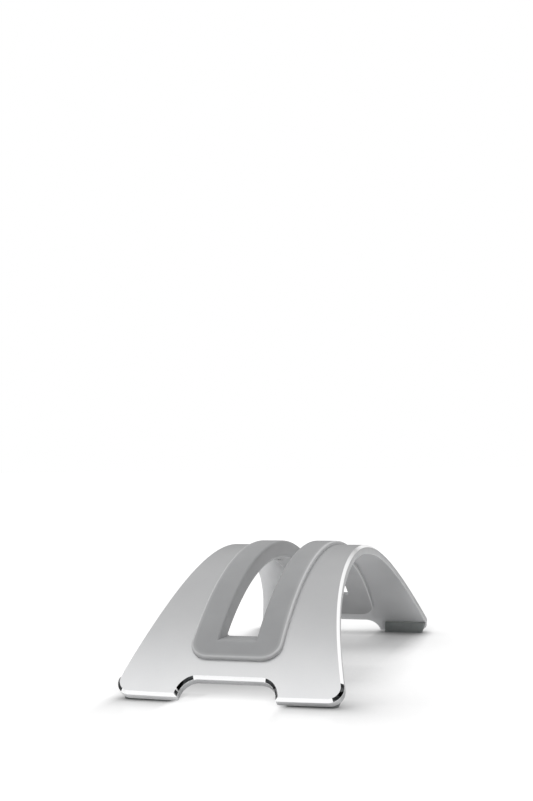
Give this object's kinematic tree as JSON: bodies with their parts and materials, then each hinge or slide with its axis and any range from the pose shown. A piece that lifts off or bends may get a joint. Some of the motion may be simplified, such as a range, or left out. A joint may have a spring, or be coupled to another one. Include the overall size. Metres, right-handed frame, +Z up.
{
  "type": "vertical laptop stand",
  "caption": "Arched aluminium stand that holds a closed laptop upright on its edge in a soft lined slot, with cable notches and wedge feet.",
  "frame": {"origin": "centre of the stand on the desk, level with the undersides of the four pads", "axes": "+X across the stand's width, +Y along its span from the front foot to the rear foot, +Z up"},
  "size_m": [0.0902, 0.2078, 0.0548],
  "materials": {
    "arch": "fine bead-blasted and clear anodised, with polished chamfers",
    "liner": "smooth matte silicone, mid grey",
    "frame": "fine-textured moulded plastic, mid grey",
    "screws": "plain stainless",
    "pads": "matte dark grey-green rubber",
    "adhesive": "translucent acrylic film"
  },
  "bodies": {
    "root": {"arch_body": "arch", "insert_liner": "liner", "insert_frame": "frame", "insert_screws": "screws", "foot_pad_front_left": "pads", "foot_pad_front_right": "pads", "foot_pad_rear_left": "pads", "foot_pad_rear_right": "pads", "pad_adhesive_front_left": "adhesive", "pad_adhesive_front_right": "adhesive", "pad_adhesive_rear_left": "adhesive", "pad_adhesive_rear_right": "adhesive"}
  },
  "joints": []
}
